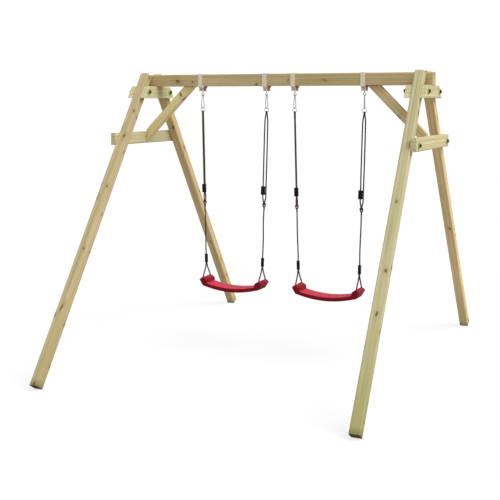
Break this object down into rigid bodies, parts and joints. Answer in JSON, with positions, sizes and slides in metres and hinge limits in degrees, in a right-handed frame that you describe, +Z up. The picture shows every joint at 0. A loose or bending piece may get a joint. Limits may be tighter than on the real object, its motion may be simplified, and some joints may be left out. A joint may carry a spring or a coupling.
{
  "type": "double swing set",
  "caption": "Timber A-frame swing set: a square beam on braced, bolted legs carries two curved plastic seats on adjustable ropes with steel hangers and snap hooks.",
  "frame": {"origin": "on the ground, below the middle of the beam", "axes": "+X along the beam to the right as seen from the front, +Y to the back, +Z up"},
  "size_m": [2.4652, 3.1978, 2.2137],
  "materials": {
    "timber_leg": "pressure-treated softwood, planed, rounded edges",
    "timber_beam": "pressure-treated softwood, planed, rounded edges",
    "timber_board": "pressure-treated softwood, planed",
    "timber_brace": "pressure-treated softwood, planed",
    "bolt_metal": "zinc-plated",
    "galvanised_steel": "galvanised, dull",
    "steel": "zinc-plated wire",
    "rope": "twisted fibre rope",
    "black_plastic": "moulded, matt",
    "seat_plastic": "moulded, satin"
  },
  "bodies": {
    "frame": {"beam": "timber_beam", "front_left_leg": "timber_leg", "front_left_upper_bolt": "bolt_metal", "front_left_lower_screw": "bolt_metal", "back_left_leg": "timber_leg", "back_left_upper_bolt": "bolt_metal", "back_left_lower_screw": "bolt_metal", "left_outer_crossboard": "timber_board", "left_inner_crossboard": "timber_board", "left_lower_crossboard": "timber_board", "left_brace": "timber_brace", "front_right_leg": "timber_leg", "front_right_upper_bolt": "bolt_metal", "front_right_lower_screw": "bolt_metal", "back_right_leg": "timber_leg", "back_right_upper_bolt": "bolt_metal", "back_right_lower_screw": "bolt_metal", "right_outer_crossboard": "timber_board", "right_inner_crossboard": "timber_board", "right_lower_crossboard": "timber_board", "right_brace": "timber_brace", "left_swing_left_strap": "galvanised_steel", "left_swing_left_swivel_eye": "steel", "left_swing_right_strap": "galvanised_steel", "left_swing_right_swivel_eye": "steel", "right_swing_left_strap": "galvanised_steel", "right_swing_left_swivel_eye": "steel", "right_swing_right_strap": "galvanised_steel", "right_swing_right_swivel_eye": "steel"},
    "left_upper_ropes": {"left_swing_left_snap_hook": "steel", "left_swing_right_snap_hook": "steel", "left_swing_left_ring": "steel", "left_swing_left_upper_rope": "rope", "left_swing_left_rope_adjuster": "black_plastic", "left_swing_right_ring": "steel", "left_swing_right_upper_rope": "rope", "left_swing_right_rope_adjuster": "black_plastic"},
    "left_swing_left_gate": {"left_swing_left_snap_gate": "steel"},
    "left_swing_right_gate": {"left_swing_right_snap_gate": "steel"},
    "left_lower_ropes": {"left_swing_left_lower_rope": "rope", "left_swing_right_lower_rope": "rope"},
    "left_seat_body": {"left_seat": "seat_plastic", "left_swing_left_seat_rope_loop": "rope", "left_swing_right_seat_rope_loop": "rope"},
    "right_upper_ropes": {"right_swing_left_snap_hook": "steel", "right_swing_right_snap_hook": "steel", "right_swing_left_ring": "steel", "right_swing_left_upper_rope": "rope", "right_swing_left_rope_adjuster": "black_plastic", "right_swing_right_ring": "steel", "right_swing_right_upper_rope": "rope", "right_swing_right_rope_adjuster": "black_plastic"},
    "right_swing_left_gate": {"right_swing_left_snap_gate": "steel"},
    "right_swing_right_gate": {"right_swing_right_snap_gate": "steel"},
    "right_lower_ropes": {"right_swing_left_lower_rope": "rope", "right_swing_right_lower_rope": "rope"},
    "right_seat_body": {"right_seat": "seat_plastic", "right_swing_left_seat_rope_loop": "rope", "right_swing_right_seat_rope_loop": "rope"}
  },
  "joints": [
    {"name": "left_swing", "type": "hinge", "parent": "frame", "child": "left_upper_ropes", "pos_m": [-0.382, 0, 2.029], "axis": [1, 0, 0], "range_deg": [-50, 50]},
    {"name": "left_swing_left_gate_hinge", "type": "hinge", "parent": "left_upper_ropes", "child": "left_swing_left_gate", "pos_m": [-0.65977, 0.00799, 2.01066], "axis": [-0.9272, 0.3746, 0], "range_deg": [0, 15], "stiffness_Nm_per_rad": 0.06, "springref_deg": -20.05},
    {"name": "left_swing_right_gate_hinge", "type": "hinge", "parent": "left_upper_ropes", "child": "left_swing_right_gate", "pos_m": [-0.09877, 0.00832, 2.01066], "axis": [-0.9659, 0.2588, 0], "range_deg": [0, 15], "stiffness_Nm_per_rad": 0.06, "springref_deg": -20.05},
    {"name": "left_lower_ropes_bend", "type": "hinge", "parent": "left_upper_ropes", "child": "left_lower_ropes", "pos_m": [-0.382, 0, 1.1815], "axis": [1, 0, 0], "range_deg": [-20, 20]},
    {"name": "left_seat_tilt", "type": "hinge", "parent": "left_lower_ropes", "child": "left_seat_body", "pos_m": [-0.382, 0, 0.666], "axis": [1, 0, 0], "range_deg": [-20, 20]},
    {"name": "right_swing", "type": "hinge", "parent": "frame", "child": "right_upper_ropes", "pos_m": [0.418, 0, 2.029], "axis": [1, 0, 0], "range_deg": [-50, 50]},
    {"name": "right_swing_left_gate_hinge", "type": "hinge", "parent": "right_upper_ropes", "child": "right_swing_left_gate", "pos_m": [0.13879, 0.00843, 2.01066], "axis": [-0.9781, 0.2079, 0], "range_deg": [0, 15], "stiffness_Nm_per_rad": 0.06, "springref_deg": -20.05},
    {"name": "right_swing_right_gate_hinge", "type": "hinge", "parent": "right_upper_ropes", "child": "right_swing_right_gate", "pos_m": [0.6981, 0.00857, 2.01066], "axis": [-0.9945, -0.1045, 0], "range_deg": [0, 15], "stiffness_Nm_per_rad": 0.06, "springref_deg": -20.05},
    {"name": "right_lower_ropes_bend", "type": "hinge", "parent": "right_upper_ropes", "child": "right_lower_ropes", "pos_m": [0.418, 0, 1.1815], "axis": [1, 0, 0], "range_deg": [-20, 20]},
    {"name": "right_seat_tilt", "type": "hinge", "parent": "right_lower_ropes", "child": "right_seat_body", "pos_m": [0.418, 0, 0.666], "axis": [1, 0, 0], "range_deg": [-20, 20]}
  ]
}
